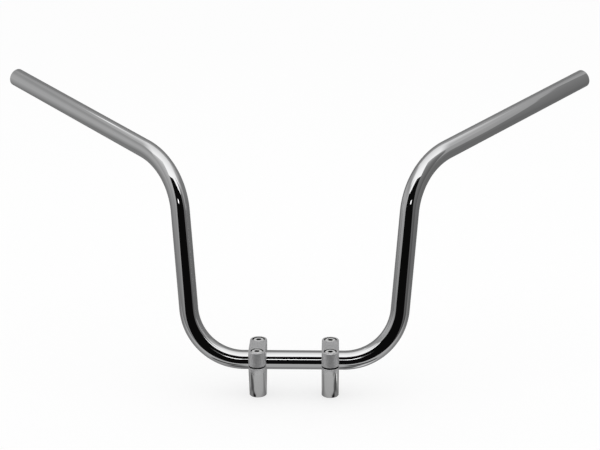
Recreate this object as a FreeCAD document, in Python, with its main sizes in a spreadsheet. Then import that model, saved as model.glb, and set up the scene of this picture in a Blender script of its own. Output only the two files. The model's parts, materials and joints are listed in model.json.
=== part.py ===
# Motorcycle handlebar: one bent, chromed tube held in two tapered risers.
# Each riser is a post with the lower half of the clamp, a cap with the upper half,
# and two socket-head screws that draw the cap down on the tube.
# Row frame, in millimetres: +X along the clamped middle of the tube, +Y to the rear,
# where the grips point, and +Z up. The origin lies between the risers' feet, on their plane.
import FreeCAD, Part
import math
import os
import Sketcher

OUTPUT_FOLDER = "parts"
SIDES = {"left": -1, "right": 1}

# Driving dimensions: name in the sheet, value, what it measures.
SIZES = [
    ("tube_diameter", 22.2, "outside of the bent tube, the common seven-eighths bar"),
    ("tube_wall", 2.0, "wall of the bent tube"),
    ("centre_straight", 117.0, "straight stretch between the two lower bends"),
    ("lower_bend_radius", 65.0, "lower bend, to the tube's centreline"),
    ("lower_bend_angle", 85.0, "turn of the lower bend, in degrees"),
    ("leg_length", 113.5, "straight stretch of each leg"),
    ("upper_bend_radius", 87.0, "upper bend, to the tube's centreline"),
    ("upper_bend_angle", 62.8, "turn of the upper bend, in degrees"),
    ("pullback_angle", 35.2, "turn of the upper bend's plane to the rear, in degrees"),
    ("grip_length", 237.0, "straight stretch that takes the grip and the controls"),
    ("tube_end_round", 0.8, "rounding of the tube's cut ends"),
    ("bar_tilt", 13.7, "lean of the legs to the rear, as clamped, in degrees"),
    ("riser_spacing", 84.5, "between the two risers' centres"),
    ("riser_height", 42.5, "from the feet to the tube's centre"),
    ("riser_width", 20.0, "riser and cap, along the tube"),
    ("foot_length", 26.0, "riser's foot, front to rear"),
    ("foot_height", 1.2, "straight stretch of the foot below the taper"),
    ("clamp_depth", 1.2, "straight stretch of the riser below the split"),
    ("cap_height", 18.4, "from the tube's centre to the cap's top"),
    ("cap_round", 1.4, "rounding of the cap's top edge"),
    ("edge_chamfer", 0.6, "chamfer of the edges beside the split and of the foot"),
    ("split_gap", 1.8, "open gap between riser and cap"),
    ("seat_clearance", 0.05, "clamp seat over the tube, on the radius"),
    ("screw_spacing", 38.0, "between the front and the rear screw"),
    ("screw_diameter", 8.0, "screw's shank"),
    ("screw_reach", 10.0, "screw's shank below the tube's centre"),
    ("screw_clearance", 0.5, "cap's hole over the shank, on the radius"),
    ("thread_clearance", 0.05, "riser's hole over the shank, on the radius"),
    ("thread_runout", 2.0, "riser's hole past the screw's end"),
    ("tip_chamfer", 1.0, "chamfer round the screw's end"),
    ("head_diameter", 13.0, "screw's head"),
    ("head_height", 8.0, "screw's head"),
    ("head_chamfer", 0.8, "chamfer round the top of the head"),
    ("head_recess", 0.5, "head's top below the cap's top"),
    ("counterbore_clearance", 1.0, "counterbore over the head, on the radius"),
    ("socket_width", 6.0, "hexagon socket, across the flats"),
    ("socket_depth", 4.5, "hexagon socket"),
    ("foot_hole_diameter", 8.5, "tapping hole in the foot, for an M10 bolt"),
    ("foot_hole_depth", 22.0, "tapping hole in the foot"),
]

# Places closer than this, in millimetres, count as the same.
SAME_PLACE = 0.001

doc = FreeCAD.newDocument("handlebar")
sheet = doc.addObject("Spreadsheet::Sheet", "sizes")
for row, (alias, value, meaning) in enumerate(SIZES, start=1):
    sheet.set(f"A{row}", str(value))
    sheet.setAlias(f"A{row}", alias)
    sheet.set(f"B{row}", meaning)
doc.recompute()


# Points and axes of a sketch, by Sketcher's own numbers

def start_of(edge):
    return edge, 1


def end_of(edge):
    return edge, 2


def centre_of(curve):
    return curve, 3


def sketch_origin():
    return start_of(horizontal_axis())


def horizontal_axis():
    return -1


def vertical_axis():
    return -2


# Helpers

def value_of(expression):
    """What an expression on the sheet comes to."""
    return float(sheet.evalExpression(expression))


def bind(thing, **expressions):
    """Ties properties to the sheet; a double underscore stands for a dot."""
    for name, expression in expressions.items():
        thing.setExpression(name.replace("__", "."), expression)


def origin_part(body, role):
    """One of a body's own origin planes or axes, such as XY_Plane."""
    return next(feature for feature in body.Origin.OriginFeatures if feature.Role == role)


def sketch_on(body, name, role, height="0"):
    """An empty sketch on a body's origin plane, lifted along the plane's normal."""
    sketch = body.newObject("Sketcher::SketchObject", name)
    sketch.AttachmentSupport = [(origin_part(body, role), "")]
    sketch.MapMode = "FlatFace"
    bind(sketch, AttachmentOffset__Base__z=height)
    return sketch


def constrain(sketch, name, expression, kind, *where):
    """Adds a dimension to a sketch and ties it to the sheet."""
    index = sketch.addConstraint(Sketcher.Constraint(kind, *where, value_of(expression)))
    sketch.renameConstraint(index, name)
    sketch.setExpression(f"Constraints.{name}", expression)


def place_point(sketch, name, point, x, y):
    """Fixes a point of a sketch; a coordinate of "0" puts it on the axis."""
    for kind, place, axis in (("DistanceX", x, vertical_axis()), ("DistanceY", y, horizontal_axis())):
        if place == "0":
            sketch.addConstraint(Sketcher.Constraint("PointOnObject", *point, axis))
        else:
            constrain(sketch, f"{name}_{kind}", place, kind, *sketch_origin(), *point)


def draw_circle(sketch, name, diameter, x="0", y="0"):
    """A circle of a bound diameter at a bound place."""
    centre = FreeCAD.Vector(value_of(x), value_of(y), 0)
    curve = Part.Circle(centre, FreeCAD.Vector(0, 0, 1), value_of(diameter) / 2)
    circle = sketch.addGeometry(curve)
    constrain(sketch, f"{name}_diameter", diameter, "Diameter", circle)
    place_point(sketch, name, centre_of(circle), x, y)


def draw_polyline(sketch, corners):
    """A closed outline through corners, each a pair of expressions in the sketch's x and y."""
    points = [FreeCAD.Vector(value_of(x), value_of(y), 0) for x, y in corners]
    lines = []
    for index, point in enumerate(points):
        following = points[(index + 1) % len(points)]
        lines.append(sketch.addGeometry(Part.LineSegment(point, following)))
    for index, (x, y) in enumerate(corners):
        sketch.addConstraint(
            Sketcher.Constraint("Coincident", *end_of(lines[index - 1]), *start_of(lines[index]))
        )
        place_point(sketch, f"corner_{index}", start_of(lines[index]), x, y)


def draw_obround(sketch, width, spacing):
    """A long round-ended outline about the origin: width along x, end centres spaced along y."""
    half_width = value_of(width) / 2
    half_spacing = value_of(spacing) / 2

    def corner(x_sign, y_sign):
        return FreeCAD.Vector(x_sign * half_width, y_sign * half_spacing, 0)

    def end_arc(y_sign, first_angle):
        centre = FreeCAD.Vector(0, y_sign * half_spacing, 0)
        circle = Part.Circle(centre, FreeCAD.Vector(0, 0, 1), half_width)
        return Part.ArcOfCircle(circle, first_angle, first_angle + math.pi)

    right = sketch.addGeometry(Part.LineSegment(corner(1, -1), corner(1, 1)))
    rear = sketch.addGeometry(end_arc(1, 0))
    left = sketch.addGeometry(Part.LineSegment(corner(-1, 1), corner(-1, -1)))
    front = sketch.addGeometry(end_arc(-1, math.pi))
    loop = [right, rear, left, front]
    for index, edge in enumerate(loop):
        following = loop[(index + 1) % len(loop)]
        sketch.addConstraint(Sketcher.Constraint("Tangent", *end_of(edge), *start_of(following)))
    sketch.addConstraint(Sketcher.Constraint("Vertical", right))
    sketch.addConstraint(
        Sketcher.Constraint("Symmetric", *centre_of(front), *centre_of(rear), *sketch_origin())
    )
    constrain(sketch, "width", width, "Diameter", rear)
    constrain(sketch, "spacing", spacing, "DistanceY", *centre_of(front), *centre_of(rear))


def pad(body, name, sketch, length):
    """A straight extrusion along the sketch's normal."""
    feature = body.newObject("PartDesign::Pad", name)
    feature.Profile = sketch
    bind(feature, Length=length)
    return feature


def edges_where(feature, wanted):
    """Names of a feature's edges that pass a test."""
    return [f"Edge{n}" for n, edge in enumerate(feature.Shape.Edges, start=1) if wanted(edge)]


def edges_at_height(feature, height):
    """Names of a feature's edges that lie wholly in the plane at a height."""
    level = value_of(height)
    return edges_where(
        feature,
        lambda edge: max(abs(edge.BoundBox.ZMin - level), abs(edge.BoundBox.ZMax - level)) < SAME_PLACE,
    )


# Handlebar tube: straight, bend, straight, twist, bend, straight, then mirrored

TUBE_BORE = "sizes.tube_diameter - 2 * sizes.tube_wall"


def add_station(body, name, before=None, **offsets):
    """A coordinate system at a place along the tube: x along it, z towards the next bend's centre."""
    station = body.newObject("PartDesign::CoordinateSystem", name)
    if before is None:
        station.AttachmentSupport = [(origin_part(body, "XY_Plane"), "")]
        station.MapMode = "FlatFace"
    else:
        station.AttachmentSupport = [(before, "")]
        station.MapMode = "ObjectXY"
    bind(station, **{f"AttachmentOffset__{name}": value for name, value in offsets.items()})
    return station


def station_after_bend(body, name, before, radius, angle):
    """The place where a bend that starts at another station ends."""
    return add_station(
        body,
        name,
        before,
        Base__x=f"{radius} * sin({angle})",
        Base__z=f"{radius} * (1 - cos({angle}))",
        Rotation__Pitch=f"-{angle}",
    )


def tube_section(body, name, station):
    """The tube's ring-shaped section across a station."""
    sketch = body.newObject("Sketcher::SketchObject", name)
    sketch.AttachmentSupport = [(station, "")]
    sketch.MapMode = "ObjectYZ"
    draw_circle(sketch, "outside", "sizes.tube_diameter")
    draw_circle(sketch, "bore", TUBE_BORE)
    return sketch


def add_straight(body, name, station, length):
    """A straight stretch of tube from a station on."""
    return pad(body, name, tube_section(body, f"{name}_section", station), length)


def add_bend(body, name, station, radius, angle):
    """A bend from a station on, about a line across the section at the bend's centre."""
    sketch = tube_section(body, f"{name}_section", station)
    side = value_of("sizes.tube_diameter / 2")
    level = value_of(radius)
    line = Part.LineSegment(FreeCAD.Vector(side, level, 0), FreeCAD.Vector(-side, level, 0))
    construction = True
    bend_axis = sketch.addGeometry(line, construction)
    sketch.addConstraint(
        Sketcher.Constraint("Symmetric", *start_of(bend_axis), *end_of(bend_axis), vertical_axis())
    )
    constrain(sketch, "axis_length", "sizes.tube_diameter", "Distance", bend_axis)
    constrain(sketch, "bend_radius", radius, "DistanceY", *sketch_origin(), *start_of(bend_axis))
    feature = body.newObject("PartDesign::Revolution", name)
    feature.Profile = sketch
    feature.ReferenceAxis = (sketch, ["Axis0"])
    bind(feature, Angle=angle)
    return feature


def round_tube_end(body, grip, grip_start):
    """Rounds the outer edge of the tube's cut end."""
    doc.recompute()
    end_centre = grip_start.Placement.multVec(FreeCAD.Vector(value_of("sizes.grip_length"), 0, 0))
    tube_radius = value_of("sizes.tube_diameter / 2")

    def is_outer_end(edge):
        curve = edge.Curve
        return (
            isinstance(curve, Part.Circle)
            and abs(curve.Radius - tube_radius) < SAME_PLACE
            and (curve.Center - end_centre).Length < SAME_PLACE
        )

    rounding = body.newObject("PartDesign::Fillet", "rounded_end")
    rounding.Base = (grip, edges_where(grip, is_outer_end))
    bind(rounding, Radius="sizes.tube_end_round")


def make_handlebar_tube():
    """The tube, bent about its own middle, then tilted and lifted into the clamps."""
    body = doc.addObject("PartDesign::Body", "handlebar_tube")
    lower = ("sizes.lower_bend_radius", "sizes.lower_bend_angle")
    upper = ("sizes.upper_bend_radius", "sizes.upper_bend_angle")
    middle = add_station(body, "middle")
    lower_start = add_station(body, "lower_bend_start", Base__x="sizes.centre_straight / 2")
    leg_start = station_after_bend(body, "leg_start", lower_start, *lower)
    upper_start = add_station(
        body,
        "upper_bend_start",
        leg_start,
        Base__x="sizes.leg_length",
        Rotation__Roll="sizes.pullback_angle - 180",
    )
    grip_start = station_after_bend(body, "grip_start", upper_start, *upper)
    add_straight(body, "centre_straight", middle, "sizes.centre_straight / 2")
    add_bend(body, "lower_bend", lower_start, *lower)
    add_straight(body, "leg", leg_start, "sizes.leg_length")
    add_bend(body, "upper_bend", upper_start, *upper)
    grip = add_straight(body, "grip", grip_start, "sizes.grip_length")
    round_tube_end(body, grip, grip_start)

    doc.recompute()
    other_half = body.newObject("PartDesign::Mirrored", "other_half")
    other_half.TransformMode = "Whole shape"
    other_half.MirrorPlane = (origin_part(body, "YZ_Plane"), [""])
    body.Tip = other_half

    across = FreeCAD.Vector(1, 0, 0)
    body.Placement.Rotation = FreeCAD.Rotation(across, -value_of("sizes.bar_tilt"))
    bind(
        body,
        Placement__Rotation__Angle="-sizes.bar_tilt",
        Placement__Base__z="sizes.riser_height",
    )
    return body


# Risers and caps

CLAMP_TOP = "sizes.riser_height - sizes.split_gap / 2"
CAP_BOTTOM = "sizes.riser_height + sizes.split_gap / 2"
CAP_TOP = "sizes.riser_height + sizes.cap_height"
SEAT_DIAMETER = "sizes.tube_diameter + 2 * sizes.seat_clearance"


def add_chamfer(body, name, base, height):
    """Breaks the edges of a feature that lie at a height."""
    doc.recompute()
    feature = body.newObject("PartDesign::Chamfer", name)
    feature.Base = (base, edges_at_height(base, height))
    bind(feature, Size="sizes.edge_chamfer")
    return feature


def cut_seat(body):
    """Cuts the half-round seat of the tube."""
    sketch = sketch_on(body, "seat_section", "YZ_Plane")
    draw_circle(sketch, "seat", SEAT_DIAMETER, y="sizes.riser_height")
    seat = body.newObject("PartDesign::Pocket", "seat")
    seat.Profile = sketch
    seat.Type = "ThroughAll"
    seat.SideType = "Symmetric"


def screw_places(body, height):
    """A sketch with the front and rear screw's centres, as the circles of their shanks."""
    sketch = sketch_on(body, "screw_centres", "XY_Plane", height)
    for place, sign in (("front", "-"), ("rear", "")):
        draw_circle(sketch, place, "sizes.screw_diameter", y=f"{sign}sizes.screw_spacing / 2")
    return sketch


def drill(body, name, sketch, diameter):
    """Round, flat-bottomed holes right through at the circles of a sketch."""
    doc.recompute()
    hole = body.newObject("PartDesign::Hole", name)
    hole.Profile = sketch
    hole.ThreadType = "None"
    hole.DrillPoint = "Flat"
    hole.DepthType = "ThroughAll"
    bind(hole, Diameter=diameter)
    return hole


def drill_to(body, name, sketch, diameter, depth):
    """Holes that stop at a depth."""
    hole = drill(body, name, sketch, diameter)
    hole.DepthType = "Dimension"
    bind(hole, Depth=depth)
    return hole


def place_beside_middle(body, sign):
    """Moves a body from the middle to one riser's place."""
    bind(body, Placement__Base__x=f"{sign} * sizes.riser_spacing / 2")


def make_riser(side, sign):
    """One post: a tapered shank from a short foot to the lower half of the clamp."""
    body = doc.addObject("PartDesign::Body", f"{side}_riser")
    foot_spacing = "sizes.foot_length - sizes.riser_width"
    outlines = {}
    for name, height, spacing in (
        ("foot_outline", "0", foot_spacing),
        ("ankle_outline", "sizes.foot_height", foot_spacing),
        ("shoulder_outline", f"{CLAMP_TOP} - sizes.clamp_depth", "sizes.screw_spacing"),
    ):
        outlines[name] = sketch_on(body, name, "XY_Plane", height)
        draw_obround(outlines[name], "sizes.riser_width", spacing)
    foot = pad(body, "foot", outlines["foot_outline"], "sizes.foot_height")
    add_chamfer(body, "foot_edge", foot, "0")
    shank = body.newObject("PartDesign::AdditiveLoft", "tapered_shank")
    shank.Profile = outlines["ankle_outline"]
    shank.Sections = [outlines["shoulder_outline"]]
    shank.Ruled = True
    clamp = pad(body, "lower_clamp", outlines["shoulder_outline"], "sizes.clamp_depth")
    add_chamfer(body, "split_edge", clamp, CLAMP_TOP)
    cut_seat(body)
    drill_to(
        body,
        "screw_holes",
        screw_places(body, CLAMP_TOP),
        "sizes.screw_diameter + 2 * sizes.thread_clearance",
        "sizes.screw_reach + sizes.thread_runout - sizes.split_gap / 2",
    )
    foot_centre = sketch_on(body, "foot_centre", "XY_Plane")
    draw_circle(foot_centre, "bolt", "sizes.foot_hole_diameter")
    foot_hole = drill_to(
        body, "foot_hole", foot_centre, "sizes.foot_hole_diameter", "sizes.foot_hole_depth"
    )
    foot_hole.Reversed = True
    place_beside_middle(body, sign)
    return body


def make_clamp_cap(side, sign):
    """One cap: the upper half of the clamp, with a counterbored hole for each screw."""
    body = doc.addObject("PartDesign::Body", f"{side}_clamp_cap")
    outline = sketch_on(body, "cap_outline", "XY_Plane", CAP_BOTTOM)
    draw_obround(outline, "sizes.riser_width", "sizes.screw_spacing")
    block = pad(body, "cap_block", outline, f"{CAP_TOP} - ({CAP_BOTTOM})")
    bottom_edge = add_chamfer(body, "split_edge", block, CAP_BOTTOM)
    doc.recompute()
    top_edge = body.newObject("PartDesign::Fillet", "rounded_top")
    top_edge.Base = (bottom_edge, edges_at_height(bottom_edge, CAP_TOP))
    bind(top_edge, Radius="sizes.cap_round")
    cut_seat(body)
    holes = drill(
        body,
        "screw_holes",
        screw_places(body, CAP_TOP),
        "sizes.screw_diameter + 2 * sizes.screw_clearance",
    )
    holes.HoleCutType = "Counterbore"
    holes.HoleCutCustomValues = True
    bind(
        holes,
        HoleCutDiameter="sizes.head_diameter + 2 * sizes.counterbore_clearance",
        HoleCutDepth="sizes.head_height + sizes.head_recess",
    )
    place_beside_middle(body, sign)
    return body


# Clamp screws: one turned screw with a hexagon socket, patterned to the four places

HEAD_TOP = f"{CAP_TOP} - sizes.head_recess"


def make_clamp_screws():
    """The four screws, each a separate solid of one group."""
    body = doc.addObject("PartDesign::Body", "clamp_screws")
    body.AllowCompound = True
    head_radius = "sizes.head_diameter / 2"
    head_bottom = f"{HEAD_TOP} - sizes.head_height"
    shank_radius = "sizes.screw_diameter / 2"
    shank_end = "sizes.riser_height - sizes.screw_reach"
    profile = sketch_on(body, "screw_profile", "XZ_Plane")
    draw_polyline(
        profile,
        [
            ("0", shank_end),
            (f"{shank_radius} - sizes.tip_chamfer", shank_end),
            (shank_radius, f"{shank_end} + sizes.tip_chamfer"),
            (shank_radius, head_bottom),
            (head_radius, head_bottom),
            (head_radius, f"{HEAD_TOP} - sizes.head_chamfer"),
            (f"{head_radius} - sizes.head_chamfer", HEAD_TOP),
            ("0", HEAD_TOP),
        ],
    )
    turned = body.newObject("PartDesign::Revolution", "turned_screw")
    turned.Profile = profile
    turned.ReferenceAxis = (profile, ["V_Axis"])
    turned.Angle = 360
    doc.recompute()

    across_flats = "sizes.socket_width / 2"
    across_points = "sizes.socket_width / sqrt(3)"
    socket_outline = sketch_on(body, "socket_outline", "XY_Plane", HEAD_TOP)
    draw_polyline(
        socket_outline,
        [
            (across_points, "0"),
            (f"{across_points} / 2", across_flats),
            (f"-{across_points} / 2", across_flats),
            (f"-{across_points}", "0"),
            (f"-{across_points} / 2", f"-{across_flats}"),
            (f"{across_points} / 2", f"-{across_flats}"),
        ],
    )
    socket = body.newObject("PartDesign::Pocket", "hexagon_socket")
    socket.Profile = socket_outline
    bind(socket, Length="sizes.socket_depth")

    four_places = body.newObject("PartDesign::MultiTransform", "four_places")
    four_places.Originals = [turned, socket]
    patterns = []
    for name, axis, spacing in (
        ("both_risers", "X_Axis", "sizes.riser_spacing"),
        ("front_and_rear", "Y_Axis", "sizes.screw_spacing"),
    ):
        pattern = body.newObject("PartDesign::LinearPattern", name)
        pattern.Direction = (origin_part(body, axis), [""])
        pattern.Occurrences = 2
        bind(pattern, Length=spacing)
        patterns.append(pattern)
    four_places.Transformations = patterns
    body.Tip = four_places
    bind(
        body,
        Placement__Base__x="-sizes.riser_spacing / 2",
        Placement__Base__y="-sizes.screw_spacing / 2",
    )
    return body


# Build, check and write

def check(subparts):
    """Stops if any object failed or any sub-part has no sound solid."""
    failed = [thing.Name for thing in doc.Objects if {"Invalid", "Error"} & set(thing.State)]
    if failed:
        raise RuntimeError(f"these objects failed: {failed}")
    for subpart in subparts:
        shape = subpart.Shape
        if shape.isNull() or not shape.isValid() or not shape.Solids:
            raise RuntimeError(f"{subpart.Label} has no sound solid")
        print(f"{subpart.Label}: {len(shape.Solids)} solid(s), {shape.Volume:.1f} mm3")


subparts = [make_handlebar_tube()]
for side_name, side_sign in SIDES.items():
    subparts.append(make_riser(side_name, side_sign))
    subparts.append(make_clamp_cap(side_name, side_sign))
subparts.append(make_clamp_screws())
doc.recompute()
check(subparts)

os.makedirs(OUTPUT_FOLDER, exist_ok=True)
for subpart in subparts:
    subpart.Shape.exportStep(os.path.join(OUTPUT_FOLDER, f"{subpart.Label}.step"))
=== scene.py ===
# %% [markdown]
# A tall chromed motorcycle handlebar. One tube is bent into a wide "U" with swept-back grip ends.
# Its straight middle is clamped in two risers, each with a cap and two socket-head screws.
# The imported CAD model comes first, because every piece below sits in its frame, in metres.

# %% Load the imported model
import json
import math

import bpy
from mathutils import Matrix, Vector

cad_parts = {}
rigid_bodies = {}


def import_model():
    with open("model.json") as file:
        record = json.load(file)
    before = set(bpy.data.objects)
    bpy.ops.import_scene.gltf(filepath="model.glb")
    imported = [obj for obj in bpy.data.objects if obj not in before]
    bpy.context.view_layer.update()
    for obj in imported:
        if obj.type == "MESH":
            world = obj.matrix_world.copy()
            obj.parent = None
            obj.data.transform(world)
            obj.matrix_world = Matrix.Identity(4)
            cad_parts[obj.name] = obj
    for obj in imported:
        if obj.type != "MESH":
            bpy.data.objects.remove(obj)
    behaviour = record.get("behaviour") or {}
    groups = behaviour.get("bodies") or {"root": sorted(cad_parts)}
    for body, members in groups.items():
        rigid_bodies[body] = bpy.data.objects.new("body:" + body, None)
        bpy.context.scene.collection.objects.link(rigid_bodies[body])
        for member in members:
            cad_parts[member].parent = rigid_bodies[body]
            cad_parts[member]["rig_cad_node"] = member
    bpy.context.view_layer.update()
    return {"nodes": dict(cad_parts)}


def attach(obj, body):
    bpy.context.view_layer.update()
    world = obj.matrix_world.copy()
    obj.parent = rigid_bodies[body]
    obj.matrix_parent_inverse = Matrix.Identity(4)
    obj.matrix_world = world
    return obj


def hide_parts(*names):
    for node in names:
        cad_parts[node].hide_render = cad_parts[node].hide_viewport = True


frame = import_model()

print("CAD nodes:", sorted(frame["nodes"]))

# %% [markdown]
# The photograph looks a little down on the bar and almost straight at it. The camera was found by
# fitting the tube's bends to the photograph, so its distance, lens and tiny roll are measured values.
# It could be placed by eye, but then the bends would hardly line up on both sides at once.

# %% Camera
CAMERA_TARGET = Vector((0.0072, 0.0, 0.2060))
CAMERA_DISTANCE = 1.512
CAMERA_TURN = math.radians(1.402)
CAMERA_HEIGHT = math.radians(15.84)
CAMERA_ROLL = math.radians(-0.111)
FOCAL_PIXELS = 1333.9
PHOTO_WIDTH = 600
SENSOR_WIDTH = 36.0

camera_data = bpy.data.cameras.new("camera")
camera_data.sensor_width = SENSOR_WIDTH
camera_data.lens = FOCAL_PIXELS / PHOTO_WIDTH * SENSOR_WIDTH
camera = bpy.data.objects.new("camera", camera_data)
bpy.context.collection.objects.link(camera)
bpy.context.scene.camera = camera

back = Vector((
    math.sin(CAMERA_TURN) * math.cos(CAMERA_HEIGHT),
    -math.cos(CAMERA_TURN) * math.cos(CAMERA_HEIGHT),
    math.sin(CAMERA_HEIGHT),
))
facing = (-back).to_track_quat("-Z", "Y").to_matrix().to_4x4()
camera.matrix_world = (
    Matrix.Translation(CAMERA_TARGET + back * CAMERA_DISTANCE)
    @ facing
    @ Matrix.Rotation(CAMERA_ROLL, 4, "Z")
)
print("lens", round(camera_data.lens, 2), "mm")

# %% [markdown]
# Shader maths is easier to read as Python. A Wire stands for one output of a node, and adding,
# multiplying or comparing wires adds the Math nodes that do it. Every other node comes from one
# method, which takes the node's type, its settings and what goes into its sockets.

# %% Shader maths
class Wire:
    """One output of a node, with Python's arithmetic."""

    def __init__(self, nodes, socket):
        self.nodes = nodes
        self.socket = socket

    def maths(self, operation, *values):
        return self.nodes.add("ShaderNodeMath", {"operation": operation}, dict(enumerate(values)))

    def __add__(self, other):
        return self.maths("ADD", self, other)

    def __radd__(self, other):
        return self.maths("ADD", other, self)

    def __sub__(self, other):
        return self.maths("SUBTRACT", self, other)

    def __rsub__(self, other):
        return self.maths("SUBTRACT", other, self)

    def __mul__(self, other):
        return self.maths("MULTIPLY", self, other)

    def __rmul__(self, other):
        return self.maths("MULTIPLY", other, self)

    def __truediv__(self, other):
        return self.maths("DIVIDE", self, other)

    def __pow__(self, other):
        return self.maths("POWER", self, other)

    def __abs__(self):
        return self.maths("ABSOLUTE", self)

    def __lt__(self, other):
        return self.maths("LESS_THAN", self, other)

    def __gt__(self, other):
        return self.maths("GREATER_THAN", self, other)

    def at_least(self, other):
        return self.maths("MAXIMUM", self, other)

    def clamped(self):
        return self.maths("MINIMUM", self.at_least(0.0), 1.0)

    def sine(self):
        return self.maths("SINE", self)


class Nodes:
    """The node tree of a material or of the world."""

    def __init__(self, owner):
        owner.use_nodes = True
        self.tree = owner.node_tree

    def add(self, kind, settings=None, sockets=None, output=0):
        node = self.tree.nodes.new(kind)
        for name, value in (settings or {}).items():
            if name == "stops":
                self.set_stops(node.color_ramp, value)
            else:
                setattr(node, name, value)
        for name, value in (sockets or {}).items():
            self.feed(node.inputs[name], value)
        return Wire(self, node.outputs[output])

    def feed(self, socket, value):
        if isinstance(value, Wire):
            self.tree.links.new(value.socket, socket)
        else:
            socket.default_value = value

    def set_stops(self, ramp, stops):
        ramp.elements.remove(ramp.elements[-1])
        for place, grey in stops:
            element = ramp.elements.new(place) if place > 0 else ramp.elements[0]
            element.color = (grey, grey, grey, 1.0)

    def place(self):
        """The point on the piece."""
        return self.add("ShaderNodeTexCoord", output="Object")

    def axes(self, place):
        """A point's x, y and z."""
        split = self.add("ShaderNodeSeparateXYZ", sockets={"Vector": place}).socket.node
        return [Wire(self, split.outputs[axis]) for axis in "XYZ"]

    def noise(self, place, scale, detail=3.0, roughness=0.5):
        return self.add(
            "ShaderNodeTexNoise",
            sockets={"Vector": place, "Scale": scale, "Detail": detail, "Roughness": roughness},
        )

    def bump(self, height, strength, distance):
        sockets = {"Strength": strength, "Distance": distance, "Height": height}
        return self.add("ShaderNodeBump", sockets=sockets)

    def blend(self, share, first, second):
        """A colour between two colours. The Mix node's colour sockets are reached by number."""
        sockets = {0: share, 6: first, 7: second}
        return self.add("ShaderNodeMix", {"data_type": "RGBA"}, sockets, output=2)


def finish_named(name):
    """A new material, its nodes and its surface shader."""
    material = bpy.data.materials.new(name)
    nodes = Nodes(material)
    return material, nodes, material.node_tree.nodes["Principled BSDF"]


print("shader maths ready")

# %% [markdown]
# Bar chrome is a mirror: bright nickel-chrome plate over polished steel. What gives a real one away
# is not colour but small faults: a slow waviness left by the polishing wheel, faint smears where
# hands have been, and hair-fine lines. All of them stay so weak that reflections keep their edges.

# %% Polished chrome of the bar
MM = 0.001
SMEARED_CHROME = (0.70, 0.705, 0.715, 1)
CLEAN_CHROME = (0.79, 0.79, 0.79, 1)
MIRROR_ROUGHNESS = 0.012
SMEAR_ROUGHNESS = 0.035
SMEAR_CONTRAST = 3.0
LINE_ROUGHNESS = 0.012
LINE_DEPTH = 0.02

polished, nodes, surface = finish_named("polished_chrome")
place = nodes.place()
smear = nodes.noise(place, scale=38.0, detail=5.0, roughness=0.62)
fine_lines = nodes.noise(place, scale=900.0, detail=2.0)
waviness = nodes.noise(place, scale=55.0, detail=1.0)
roughness = MIRROR_ROUGHNESS + SMEAR_ROUGHNESS * smear ** SMEAR_CONTRAST + LINE_ROUGHNESS * fine_lines
ripple = nodes.bump(waviness + LINE_DEPTH * fine_lines, strength=0.04, distance=0.1 * MM)
nodes.feed(surface.inputs["Base Color"], nodes.blend(smear, SMEARED_CHROME, CLEAN_CHROME))
nodes.feed(surface.inputs["Roughness"], roughness)
nodes.feed(surface.inputs["Metallic"], 1.0)
nodes.feed(surface.inputs["Normal"], ripple)
print("made", polished.name)

# %% [markdown]
# Inside, the tube is bare drawn steel that the plating bath hardly reaches: dark, dull and a
# little streaky. It shows only where one looks into the open ends, so one noise is enough for it.

# %% Bare steel of the bore
DARK_SCALE = (0.05, 0.048, 0.046, 1)
DRAWN_STEEL = (0.16, 0.155, 0.15, 1)
BORE_ROUGHNESS = 0.45
PATCH_ROUGHNESS = 0.25

bare, nodes, surface = finish_named("bare_bore_steel")
scale_patches = nodes.noise(nodes.place(), scale=160.0, detail=6.0, roughness=0.7)
nodes.feed(surface.inputs["Base Color"], nodes.blend(scale_patches, DARK_SCALE, DRAWN_STEEL))
nodes.feed(surface.inputs["Metallic"], 0.8)
nodes.feed(surface.inputs["Roughness"], BORE_ROUGHNESS + PATCH_ROUGHNESS * scale_patches)
print("made", bare.name)

# %% [markdown]
# A curve with a round bevel could stand for the bar, but its bends would be hard to measure. So the
# bar is made as a bending machine makes it: feed a length, turn the tube, bend it round a die. The
# machine below keeps track of the tube's open end, and extrude and spin carry the end's ring along.

# %% Bending machine
class BendingMachine:
    """Where the tube's open end is: x runs along the tube, z points to the next bend's centre."""

    def __init__(self, start):
        self.end = start

    def feed(self, length):
        step = self.end.to_3x3() @ Vector((length, 0, 0))
        bpy.ops.mesh.extrude_edges_move(TRANSFORM_OT_translate={"value": step})
        self.end = Matrix.Translation(step) @ self.end

    def turn(self, angle):
        self.end = self.end @ Matrix.Rotation(angle, 4, "X")

    def bend(self, radius, angle, steps):
        centre = self.end @ Vector((0, 0, radius))
        axis = self.end.to_3x3() @ Vector((0, -1, 0))
        bpy.ops.mesh.spin(steps=steps, angle=-angle, center=centre, axis=axis)
        round_the_die = Matrix.Rotation(angle, 4, axis)
        self.end = Matrix.Translation(centre) @ round_the_die @ Matrix.Translation(-centre) @ self.end


print("bending machine ready")

# %% [markdown]
# A ring of vertices in the middle of the bar stands for the tube's open end. Only the right half is
# bent, from the middle to the grip: a straight, the lower bend, the leg, a turn of the tube, the
# upper bend and the grip. The whole bar leans back a little in its clamps.

# %% Bend the right half of the tube
TUBE_RADIUS = 11.1 * MM
RING_POINTS = 96
RISER_HEIGHT = 42.5 * MM
BAR_TILT = math.radians(13.7)
HALF_MIDDLE = 58.5 * MM
LOWER_RADIUS = 65.0 * MM
LOWER_BEND = math.radians(85.0)
LEG_LENGTH = 113.5 * MM
PLANE_TURN = math.radians(35.2 - 180)
UPPER_RADIUS = 87.0 * MM
UPPER_BEND = math.radians(62.8)
GRIP_LENGTH = 237.0 * MM

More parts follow.
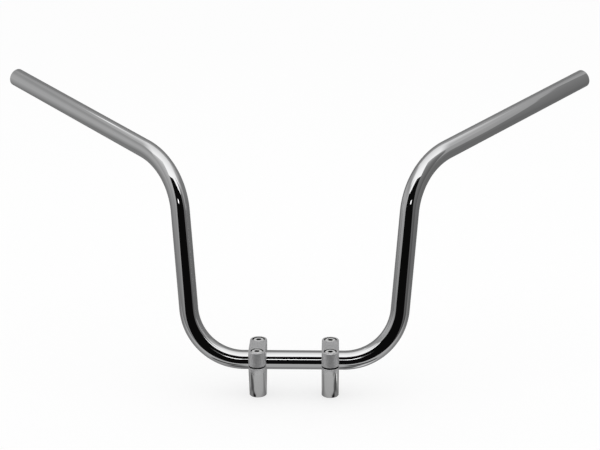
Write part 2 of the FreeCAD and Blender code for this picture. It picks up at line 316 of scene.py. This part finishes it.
bpy.ops.object.select_all(action="DESELECT")
bpy.ops.mesh.primitive_circle_add(
    vertices=RING_POINTS,
    radius=TUBE_RADIUS,
    location=(0, 0, RISER_HEIGHT),
    rotation=(0, math.radians(90), 0),
)
bar = bpy.context.active_object
bar.name = "bent_bar"
bpy.ops.object.transform_apply(location=True, rotation=True, scale=True)
bpy.ops.object.mode_set(mode="EDIT")
bpy.ops.mesh.select_all(action="SELECT")
machine = BendingMachine(Matrix.Translation((0, 0, RISER_HEIGHT)) @ Matrix.Rotation(-BAR_TILT, 4, "X"))
machine.feed(HALF_MIDDLE)
machine.bend(LOWER_RADIUS, LOWER_BEND, steps=48)
machine.feed(LEG_LENGTH)
machine.turn(PLANE_TURN)
machine.bend(UPPER_RADIUS, UPPER_BEND, steps=40)
machine.feed(GRIP_LENGTH)
bpy.ops.object.mode_set(mode="OBJECT")
grip_end = machine.end.translation.copy()
open_ring = [v.co for v in bar.data.vertices if v.select]
drift = (sum(open_ring, Vector()) / len(open_ring) - grip_end).length
print("grip end", [round(c, 4) for c in grip_end], "drift", round(drift, 7))

# %% [markdown]
# The half is mirrored and welded at the middle, and its faces are turned outwards. Solidify then
# gives it its wall. It grows against the way the faces look, so inwards, and the turning comes first.
# The wall's inner faces take the second material, which is the bare steel.

# %% Mirror and wall
TUBE_WALL = 2.0 * MM
MIRROR_WELD = 0.05 * MM
DOUBLES_WELD = 0.01 * MM

bpy.ops.object.select_all(action="DESELECT")
bar.select_set(True)
bpy.context.view_layer.objects.active = bar
mirror = bar.modifiers.new("mirror", "MIRROR")
mirror.use_axis = (True, False, False)
mirror.merge_threshold = MIRROR_WELD
bpy.ops.object.modifier_apply(modifier=mirror.name)
bpy.ops.object.mode_set(mode="EDIT")
bpy.ops.mesh.select_all(action="SELECT")
bpy.ops.mesh.remove_doubles(threshold=DOUBLES_WELD)
bpy.ops.mesh.normals_make_consistent(inside=False)
bpy.ops.object.mode_set(mode="OBJECT")

bar.data.materials.append(polished)
bar.data.materials.append(bare)
wall = bar.modifiers.new("wall", "SOLIDIFY")
wall.thickness = TUBE_WALL
wall.offset = -1.0
wall.use_even_offset = True
wall.material_offset = 1
bpy.ops.object.modifier_apply(modifier=wall.name)
print("bar with wall, faces", len(bar.data.polygons))

# %% [markdown]
# A cut tube is deburred, so its outer rim is rounded and catches a thin line of light. A bevel does
# that here, on the edges that lie on the rim of either end. They are found by their distance from
# the end's centre, on the right half and, with x turned positive, on the left half too.

# %% Rounded ends
END_ROUND = 0.8 * MM
RIM_TOLERANCE = 0.05 * MM
SMOOTH_ANGLE = math.radians(40)


def on_rim(point):
    """True on the outer rim of either cut end."""
    from_end = Vector((abs(point.x), point.y, point.z)) - grip_end
    return abs(from_end.length - TUBE_RADIUS) < RIM_TOLERANCE


bpy.ops.object.mode_set(mode="EDIT")
bpy.ops.mesh.select_mode(type="EDGE")
bpy.ops.mesh.select_all(action="DESELECT")
bpy.ops.object.mode_set(mode="OBJECT")
for edge in bar.data.edges:
    edge.select = all(on_rim(bar.data.vertices[index].co) for index in edge.vertices)
rim_edges = sum(edge.select for edge in bar.data.edges)
bpy.ops.object.mode_set(mode="EDIT")
bpy.ops.mesh.bevel(offset=END_ROUND, segments=4, affect="EDGES")
bpy.ops.object.mode_set(mode="OBJECT")
bpy.ops.object.shade_smooth_by_angle(angle=SMOOTH_ANGLE)
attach(bar, "root")
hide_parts("handlebar_tube")
print("bar faces", len(bar.data.polygons), "rim edges", rim_edges)

# %% [markdown]
# The risers and caps are plated too, but over a blasted surface, so they are satin: the light
# spreads, and a fine grain shows. The posts are polished smoother below the clamps. The shade down in
# the counterbores and in the split is painted into the colour as near-black, found by place: within a
# counterbore's radius of a screw's centre, or beside the split's height.

# %% Satin chrome of risers and caps
RISER_SPACING = 84.5 * MM
SCREW_SPACING = 38.0 * MM
COUNTERBORE_RADIUS = 7.5 * MM
BORE_MARGIN = 0.1 * MM
SPLIT_GAP = 1.8 * MM
SPLIT_MARGIN = 0.05 * MM
CAP_TOP = RISER_HEIGHT + 18.4 * MM
TOP_MARGIN = 0.4 * MM
POST_TOP = RISER_HEIGHT - 2.1 * MM
POLISH_RUN = 7.0 * MM
DULL_PLATE = (0.58, 0.58, 0.59, 1)
BRIGHT_PLATE = (0.92, 0.92, 0.92, 1)
POLISHED_POST = (0.80, 0.80, 0.80, 1)
# Painted shade for the counterbores and the split.
PAINTED_GAP_SHADE = (0.012, 0.012, 0.012, 1)
SPECKLE_START = 0.3
SPECKLE_RUN = 0.4
CLOUD_SHARE = 0.35
SATIN_METALLIC = 0.84
SATIN_ROUGHNESS = 0.42
GRAIN_ROUGHNESS = 0.16
POLISH_GLOSS = 0.38
POLISH_LEVELLING = 0.95


def distance_to_screw(x, y):
    """How far a point is from the nearest screw's centre line."""
    across = abs(x) - RISER_SPACING / 2
    along = abs(y) - SCREW_SPACING / 2
    return (across * across + along * along) ** 0.5


satin, nodes, surface = finish_named("satin_chrome")
place = nodes.place()
x, y, z = nodes.axes(place)
grain = nodes.noise(place, scale=620.0, detail=3.0, roughness=0.65)
clouding = nodes.noise(place, scale=120.0, detail=4.0)
polish = ((POST_TOP - z) / POLISH_RUN).clamped()
below_top = (z < CAP_TOP - TOP_MARGIN) * (z > RISER_HEIGHT)
in_bore = (distance_to_screw(x, y) < COUNTERBORE_RADIUS + BORE_MARGIN) * below_top
in_split = abs(z - RISER_HEIGHT) < SPLIT_GAP / 2 + SPLIT_MARGIN
# The near-black in the counterbores and the split is painted shade.
painted_shade_mask = (in_bore + in_split) > 0.5
speckle = ((grain - SPECKLE_START) / SPECKLE_RUN).clamped()
brightness = CLOUD_SHARE * clouding + (1 - CLOUD_SHARE) * speckle
plate = nodes.blend(brightness, DULL_PLATE, BRIGHT_PLATE)
finished_plate = nodes.blend(polish, plate, POLISHED_POST)
roughness = SATIN_ROUGHNESS + GRAIN_ROUGHNESS * grain - POLISH_GLOSS * polish
grain_bump = nodes.bump(grain * (1 - POLISH_LEVELLING * polish), strength=0.5, distance=0.15 * MM)
nodes.feed(surface.inputs["Base Color"], nodes.blend(painted_shade_mask, finished_plate, PAINTED_GAP_SHADE))
nodes.feed(surface.inputs["Metallic"], SATIN_METALLIC + (1 - SATIN_METALLIC) * polish)
nodes.feed(surface.inputs["Roughness"], roughness)
nodes.feed(surface.inputs["Normal"], grain_bump)
print("made", satin.name)

# %% [markdown]
# The screws are bright plated steel, turned on a lathe: fine rings run round each head, so a sine of
# the distance from the screw's centre makes them. The shade deep inside their hexagon sockets is
# painted into the colour as black.

# %% Bright steel of the screws
HEAD_TOP = CAP_TOP - 0.5 * MM
SOCKET_FLATS = 6.0 * MM
SOCKET_MARGIN = 0.05 * MM
SOCKET_EDGE = 0.15 * MM
TURNING_STEP = 0.35 * MM
WORN_STEEL = (0.80, 0.80, 0.80, 1)
BRIGHT_STEEL = (0.94, 0.94, 0.93, 1)
# Painted shade for the inside of the sockets.
SOCKET_PAINTED_SHADE = (0.02, 0.02, 0.02, 1)
HEAD_ROUGHNESS = 0.30
SPOT_ROUGHNESS = 0.10
RING_ROUGHNESS = 0.03

bright, nodes, surface = finish_named("bright_screw_steel")
place = nodes.place()
x, y, z = nodes.axes(place)
from_centre = distance_to_screw(x, y)
turning = (from_centre * (2 * math.pi / TURNING_STEP)).sine()
spots = nodes.noise(place, scale=700.0, detail=3.0)
socket_reach = SOCKET_FLATS / math.sqrt(3) + SOCKET_MARGIN
in_socket = (from_centre < socket_reach) * (z < HEAD_TOP - SOCKET_EDGE)
plate = nodes.blend(spots, WORN_STEEL, BRIGHT_STEEL)
# The black inside the sockets is painted shade.
nodes.feed(surface.inputs["Base Color"], nodes.blend(in_socket, plate, SOCKET_PAINTED_SHADE))
nodes.feed(surface.inputs["Metallic"], 0.5)
roughness = HEAD_ROUGHNESS + SPOT_ROUGHNESS * spots + RING_ROUGHNESS * turning
nodes.feed(surface.inputs["Roughness"], roughness)
nodes.feed(surface.inputs["Normal"], nodes.bump(turning, strength=0.15, distance=0.03 * MM))
print("made", bright.name)

# %% [markdown]
# Risers, caps and screws are machined parts, and their CAD solids already have every hole and round
# that shows. Modelling them again would only copy them, so their meshes stay untouched, and each
# node's material is swapped for its finish.

# %% Finish the CAD nodes that stay
for node_name in ("left_riser", "left_clamp_cap", "right_riser", "right_clamp_cap", "clamp_screws"):
    node_object = next(o for o in bpy.data.objects if o.get("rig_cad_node") == node_name)
    node_object.data.materials.clear()
    node_object.data.materials.append(bright if node_name == "clamp_screws" else satin)
    print("finished", node_name)

# %% [markdown]
# Chrome has no look of its own: it shows the studio. Real cloth and lamps could be built round the
# bar, but they would also change its light. So the studio is a set of flat cards that glow in greys
# and that only reflections see. Each grey runs through a few stops along one direction.

# %% Cards for the reflections
BRIGHTEST = 1.5


def steps(nodes, along, stops):
    """A value that runs through stops, each a place in metres and the value there."""
    start, end = stops[0][0], stops[-1][0]
    shares = [((place - start) / (end - start), value / BRIGHTEST) for place, value in stops]
    ramp = nodes.add("ShaderNodeValToRGB", {"stops": shares}, {"Fac": (along - start) / (end - start)})
    return ramp * BRIGHTEST


def streak(distance, half_width):
    """A line with soft sides: 1 along it, and one half where the distance is the half width."""
    return (1.5 - abs(distance) / half_width).clamped()


def glow(name, light):
    """A glowing finish. The light is a function of the nodes and of x, y and z."""
    material = bpy.data.materials.new(name)
    nodes = Nodes(material)
    grey = light(nodes, *nodes.axes(nodes.place()))
    emission = nodes.add("ShaderNodeEmission", sockets={"Color": grey})
    nodes.feed(material.node_tree.nodes["Material Output"].inputs["Surface"], emission)
    return material


def card(name, corners, light):
    """A flat card through corners, seen by reflections alone."""
    mesh = bpy.data.meshes.new(name)
    mesh.from_pydata(corners, [], [range(len(corners))])
    mesh.materials.append(glow(name, light))
    piece = bpy.data.objects.new(name, mesh)
    bpy.context.collection.objects.link(piece)
    piece.visible_camera = False
    piece.visible_diffuse = False
    piece.visible_shadow = False
    piece.visible_transmission = False
    piece.visible_volume_scatter = False


print("cards ready")

# %% [markdown]
# The reflections in the photograph are those of a light tent, a box of white cloth with lamps
# outside. Its walls are darkest near the floor. On the right wall a fold rises to the back, with
# brighter cloth above it, which draws the slanted edge along the right grip.

# %% Walls of the light tent
TENT_FRONT = -0.28
TENT_BACK = 0.80
TENT_LEFT = -0.75
TENT_RIGHT = 0.95
TENT_FLOOR = -0.315
TENT_ROOF = 1.0
LEFT_CLOTH = [(TENT_FLOOR, 0.12), (0.0, 0.21), (0.36, 0.47), (0.55, 0.46), (0.75, 0.36), (TENT_ROOF, 0.36)]
RIGHT_CLOTH = [(TENT_FLOOR, 0.10), (0.0, 0.16), (0.20, 0.19), (0.45, 0.21), (TENT_ROOF, 0.25)]
BACK_CLOTH = [(TENT_FLOOR, 0.16), (TENT_ROOF, 0.28)]
FOLD_HEIGHT = 0.50
FOLD_RISE = 2.6
FOLD_LOWEST = 0.36
FOLD_LIGHT = 0.17
FOLD_EDGE = 0.05


def wall_card(name, start, end, light):
    """An upright card between two corners of the tent, each given as x and y."""
    corners = [(*start, TENT_FLOOR), (*end, TENT_FLOOR), (*end, TENT_ROOF), (*start, TENT_ROOF)]
    card(name, corners, light)


def left_light(nodes, x, y, z):
    return steps(nodes, z, LEFT_CLOTH)


def right_light(nodes, x, y, z):
    fold = (FOLD_HEIGHT + FOLD_RISE * y).at_least(FOLD_LOWEST)
    return steps(nodes, z, RIGHT_CLOTH) + FOLD_LIGHT * ((z - fold) / FOLD_EDGE).clamped()


def back_light(nodes, x, y, z):
    return steps(nodes, z, BACK_CLOTH)


wall_card("tent_left", (TENT_LEFT, TENT_FRONT), (TENT_LEFT, TENT_BACK), left_light)
wall_card("tent_right", (TENT_RIGHT, TENT_FRONT), (TENT_RIGHT, TENT_BACK), right_light)
wall_card("tent_back", (TENT_LEFT, TENT_BACK), (TENT_RIGHT, TENT_BACK), back_light)
print("tent walls", TENT_LEFT, TENT_RIGHT, TENT_FRONT, TENT_BACK)

# %% [markdown]
# The roof gives the chrome its long white bands. It is brightest in the middle of its front, and the
# bright part spreads out towards the camera. A seam near its back left shows as the thin line on the
# left grip, and its far right corner is dimmer. The floor beyond the table stays dark.

# %% Roof and floor of the light tent
ROOF_FRONT = -0.74
NOTCH_BACK = -0.58
NOTCH_SIDE = 0.4
ROOF_LIGHT_BACK = 0.39
ROOF_BACK_RIGHT = 0.40
ROOF_BACK_LEFT = 0.52
ROOF_LAP = 0.002
ROOF_ALONG = [(ROOF_FRONT, 1.25), (-0.3, 1.20), (ROOF_LIGHT_BACK, 0.85)]
ROOF_ACROSS = [(0.0, 1.0), (0.30, 1.0), (0.58, 0.50), (1.0, 0.42)]
ROOF_BEHIND = [(ROOF_LIGHT_BACK, 0.45), (TENT_BACK, 0.35)]
SPREAD_START = 0.1
SPREAD = 0.8
CORNER_SLANT = 1.2
CORNER_START = 1.16
CORNER_EDGE = 0.05
CORNER_LEFT = 0.60
CORNER_RUN = 0.08
CORNER_DIM = 0.35
SEAM_PLACE = 0.445
SEAM_WIDTH = 0.055
SEAM_LIGHT = [(-0.53, 0.0), (-0.48, 0.30), (-0.43, 0.75), (-0.40, 0.25), (-0.34, 0.0)]
ROOM_FRONT = -13.0
DARK = (0.004, 0.004, 0.004, 1)


def roof_light(nodes, x, y, z):
    from_middle = abs(x) - SPREAD * (SPREAD_START - y).at_least(0.0)
    cloth = steps(nodes, y, ROOF_ALONG) * steps(nodes, from_middle, ROOF_ACROSS)
    slanted = ((x + CORNER_SLANT * y - CORNER_START) / CORNER_EDGE).clamped()
    corner = slanted * ((x - CORNER_LEFT) / CORNER_RUN).clamped()
    seam = streak(y - SEAM_PLACE, SEAM_WIDTH) * steps(nodes, x, SEAM_LIGHT)
    return cloth * (1 - CORNER_DIM * corner) + seam


def behind_light(nodes, x, y, z):
    return steps(nodes, y, ROOF_BEHIND)


def no_light(nodes, x, y, z):
    return DARK


def flat_card(name, height, front, back, light):
    """A level card over the tent's whole width."""
    corners = [(TENT_LEFT, front), (TENT_RIGHT, front), (TENT_RIGHT, back), (TENT_LEFT, back)]
    card(name, [(cx, cy, height) for cx, cy in corners], light)


roof_outline = [
    (TENT_RIGHT, ROOF_BACK_RIGHT),
    (TENT_LEFT, ROOF_BACK_LEFT),
    (TENT_LEFT, ROOF_FRONT),
    (-NOTCH_SIDE, ROOF_FRONT),
    (0.0, NOTCH_BACK),
    (NOTCH_SIDE, ROOF_FRONT),
    (TENT_RIGHT, ROOF_FRONT),
]
card("tent_roof_light", [(px, py, TENT_ROOF) for px, py in roof_outline], roof_light)
flat_card("tent_roof_back", TENT_ROOF + ROOF_LAP, ROOF_LIGHT_BACK, TENT_BACK, behind_light)
flat_card("dark_floor", TENT_FLOOR, ROOM_FRONT, TENT_BACK, no_light)
print("roof from", ROOF_FRONT, "to", TENT_BACK)

# %% [markdown]
# Two flaps half close the tent's front, and between them it is open up to the roof. Their inner
# edges slant, and they bound the black stripe down each leg, so each flap is one card whose outline
# follows that edge. A flap is brightest beside the opening and near the roof.

# %% Flaps at the front of the tent
LEFT_FLAP_EDGE = [(-0.42, TENT_FLOOR), (-0.344, 0.21), (-0.31, 0.33), (-0.295, 0.45), (-0.29, TENT_ROOF)]
RIGHT_FLAP_EDGE = [(0.44, TENT_FLOOR), (0.386, 0.21), (0.32, 0.33), (0.28, 0.42), (0.26, TENT_ROOF)]
LEFT_FLAP_CLOTH = [(TENT_FLOOR, 0.22), (0.20, 0.42), (0.42, 0.55), (0.70, 0.66), (TENT_ROOF, 0.95)]
RIGHT_FLAP_CLOTH = [(TENT_FLOOR, 0.08), (0.20, 0.16), (0.45, 0.22), (0.70, 0.30), (TENT_ROOF, 0.60)]
FLAP_FADE = [(0.25, 1.0), (0.75, 0.65)]


def flap(name, edge, outer, cloth):
    """One flap, from its inner edge to the outer wall."""

    def flap_light(nodes, x, y, z):
        return steps(nodes, z, cloth) * steps(nodes, abs(x), FLAP_FADE)

    outline = [*edge, (outer, TENT_ROOF), (outer, TENT_FLOOR)]
    card(name, [(px, TENT_FRONT, pz) for px, pz in outline], flap_light)


flap("left_flap", LEFT_FLAP_EDGE, TENT_LEFT, LEFT_FLAP_CLOTH)
flap("right_flap", RIGHT_FLAP_EDGE, TENT_RIGHT, RIGHT_FLAP_CLOTH)
print("opening between", LEFT_FLAP_EDGE[0], "and", RIGHT_FLAP_EDGE[0])

# %% [markdown]
# Through the opening the chrome shows a dark room: a black card far behind the camera. One lamp hangs
# before it, high up, and makes the thin bright line along the bar's straight middle. It is a wide
# card as well, and its light fades out towards both ends.

# %% Dark room and far lamp
ROOM_REACH = 40.0
LAMP_FRONT = -12.0
LAMP_LEFT = -1.9
LAMP_RIGHT = 1.6
LAMP_LOW = 4.75
LAMP_HIGH = 5.60
LAMP_STRENGTH = 3.3
LAMP_ENDS = [(LAMP_LEFT, 0.0), (-1.00, 0.12), (-0.72, 1.0), (0.0, 1.0), (0.50, 0.15), (LAMP_RIGHT, 0.0)]


def upright_card(name, front, low, high, light):
    """An upright card that faces the object. Its corners are given as x and z."""
    (x0, z0), (x1, z1) = low, high
    card(name, [(x0, front, z0), (x1, front, z0), (x1, front, z1), (x0, front, z1)], light)


def lamp_light(nodes, x, y, z):
    return LAMP_STRENGTH * steps(nodes, x, LAMP_ENDS)


upright_card("dark_room", ROOM_FRONT, (-ROOM_REACH, -ROOM_REACH), (ROOM_REACH, ROOM_REACH), no_light)
upright_card("front_lamp", LAMP_FRONT, (LAMP_LEFT, LAMP_LOW), (LAMP_RIGHT, LAMP_HIGH), lamp_light)
print("lamp", LAMP_RIGHT - LAMP_LEFT, "m wide,", -LAMP_FRONT, "m away")

# %% [markdown]
# The object stood on a small grey table, whose near edge is just in front of the feet. Reflections
# show it from close by, with the shadows that the bar and the feet drop on it. Cast shadows would need
# the real lamps, so they are painted on the card: a line beside each foot, one under each bend, one
# between the feet and a shade behind, all set by the distance from the middle, and a glint at right.

# %% Table in the reflections
TABLE_FRONT = -0.075
TABLE_TOP = 0.0002
TABLE_GREYS = [(TABLE_FRONT, 0.52), (-0.02, 0.42), (0.03, 0.28), (TENT_BACK, 0.24)]
RIGHT_FADE = [(0.15, 1.0), (0.40, 0.72)]
FOOT_PLACE = [(0.046, 0.0132), (0.051, 0.0150), (0.056, 0.018), (0.085, 0.018)]
FOOT_WIDTH = [(0.046, 0.002), (0.053, 0.0025), (0.057, 0.0055), (0.062, 0.009), (0.085, 0.009)]
FOOT_DEPTH = [
    (0.0445, 0.0), (0.0455, 1.0), (0.049, 0.95), (0.052, 0.7), (0.058, 0.72),
    (0.070, 0.82), (0.080, 0.82), (0.095, 0.0),
]
BEND_PLACE = [(0.060, 0.040), (0.085, 0.040), (0.102, 0.033), (0.120, 0.026)]
BEND_WIDTH = [(0.066, 0.006), (0.085, 0.009)]
BEND_DEPTH = [(0.058, 0.0), (0.068, 1.0), (0.120, 0.95), (0.130, 0.0)]
MIDDLE_PLACE = 0.005
MIDDLE_WIDTH = 0.007
MIDDLE_DEPTH = [(0.0, 0.45), (0.034, 0.45), (0.042, 0.0)]
BEHIND_PLACE = 0.020
BEHIND_RUN = 0.008
BEHIND_DEPTH = [(0.043, 0.0), (0.050, 0.45), (0.060, 0.45), (0.070, 0.1)]
GLINT_PLACE = 0.008
GLINT_WIDTH = 0.005
GLINT_LIGHT = [(0.072, 0.0), (0.081, 0.7), (0.090, 0.7), (0.100, 0.5), (0.118, 0.3), (0.128, 0.0)]


def table_light(nodes, x, y, z):
    reach = abs(x)
    foot = streak(y + steps(nodes, reach, FOOT_PLACE), steps(nodes, reach, FOOT_WIDTH))
    bend = streak(y + steps(nodes, reach, BEND_PLACE), steps(nodes, reach, BEND_WIDTH))
    middle = streak(y + MIDDLE_PLACE, MIDDLE_WIDTH)
    behind = ((y + BEHIND_PLACE) / BEHIND_RUN).clamped()
    left_over = steps(nodes, x, RIGHT_FADE)
    for shadow, depth in (
        (foot, FOOT_DEPTH), (bend, BEND_DEPTH), (middle, MIDDLE_DEPTH), (behind, BEHIND_DEPTH),
    ):
        left_over = left_over * (1 - shadow * steps(nodes, reach, depth))
    glint = streak(y + GLINT_PLACE, GLINT_WIDTH) * steps(nodes, x, GLINT_LIGHT)
    return steps(nodes, y, TABLE_GREYS) * left_over + glint


flat_card("grey_table", TABLE_TOP, TABLE_FRONT, TENT_BACK, table_light)
print("table from", TABLE_FRONT, "to", TENT_BACK)

# %% [markdown]
# The floor that the camera sees is plain, nearly white and large enough to fill the photograph's
# frame. Part of its white is a glow that lights nothing, and the rest is lit paper, so it keeps a
# faint soft shadow of the feet. Reflections don't see it: the table's card stands for it there.

# %% Pale floor
FLOOR_SIZE = 40.0
FLOOR_PAPER = (0.97, 0.97, 0.97, 1)
PAPER_GLOW = 0.7
SHOWN_RAYS = ("Camera", "Glossy", "Transmission")

bpy.ops.object.select_all(action="DESELECT")
bpy.ops.mesh.primitive_plane_add(size=FLOOR_SIZE, location=(0, 0, 0))
floor = bpy.context.active_object
floor.name = "floor"
floor.visible_glossy = False


def shown(nodes):
    """1 for what the camera sees, straight or in metal or glass, and 0 for plain light."""
    camera_ray, glossy, clear = (
        nodes.add("ShaderNodeLightPath", output=f"Is {kind} Ray") for kind in SHOWN_RAYS
    )
    return (camera_ray + glossy + clear) > 0.5


floor_paint, nodes, surface = finish_named("pale_floor")
nodes.feed(surface.inputs["Base Color"], FLOOR_PAPER)
nodes.feed(surface.inputs["Roughness"], 0.9)
nodes.feed(surface.inputs["Specular IOR Level"], 0.0)
white = nodes.add("ShaderNodeEmission", sockets={"Strength": 1.0})
glowing_paper = nodes.add(
    "ShaderNodeMixShader",
    sockets={0: PAPER_GLOW * shown(nodes), 1: Wire(nodes, surface.outputs[0]), 2: white},
)
nodes.feed(floor_paint.node_tree.nodes["Material Output"].inputs["Surface"], glowing_paper)
floor.data.materials.append(floor_paint)
print("floor", FLOOR_SIZE, "m wide")

# %% [markdown]
# An even white sky lights the object from all round, as a light tent does, and a broad soft lamp
# overhead adds a little from above. The lamp is hidden from reflections, because the tent's roof
# already stands for it there.

# %% Sky and overhead lamp
SKY_LIGHT = 0.96
OVERHEAD_PLACE = (0.1, 0.1, 2.2)
OVERHEAD_WIDTH = 1.6
OVERHEAD_WATTS = 3.0

sky = bpy.data.worlds.new("studio")
bpy.context.scene.world = sky
nodes = Nodes(sky)
background = sky.node_tree.nodes["Background"]
nodes.feed(background.inputs["Color"], (1, 1, 1, 1))
nodes.feed(background.inputs["Strength"], SKY_LIGHT + (1 - SKY_LIGHT) * shown(nodes))

lamp_data = bpy.data.lights.new("overhead", "AREA")
lamp_data.shape = "DISK"
lamp_data.size = OVERHEAD_WIDTH
lamp_data.energy = OVERHEAD_WATTS
overhead = bpy.data.objects.new("overhead", lamp_data)
overhead.location = OVERHEAD_PLACE
overhead.visible_glossy = False
bpy.context.collection.objects.link(overhead)

bpy.context.scene.view_settings.view_transform = "Standard"
print("sky", SKY_LIGHT, "lamp", OVERHEAD_WATTS, "W")
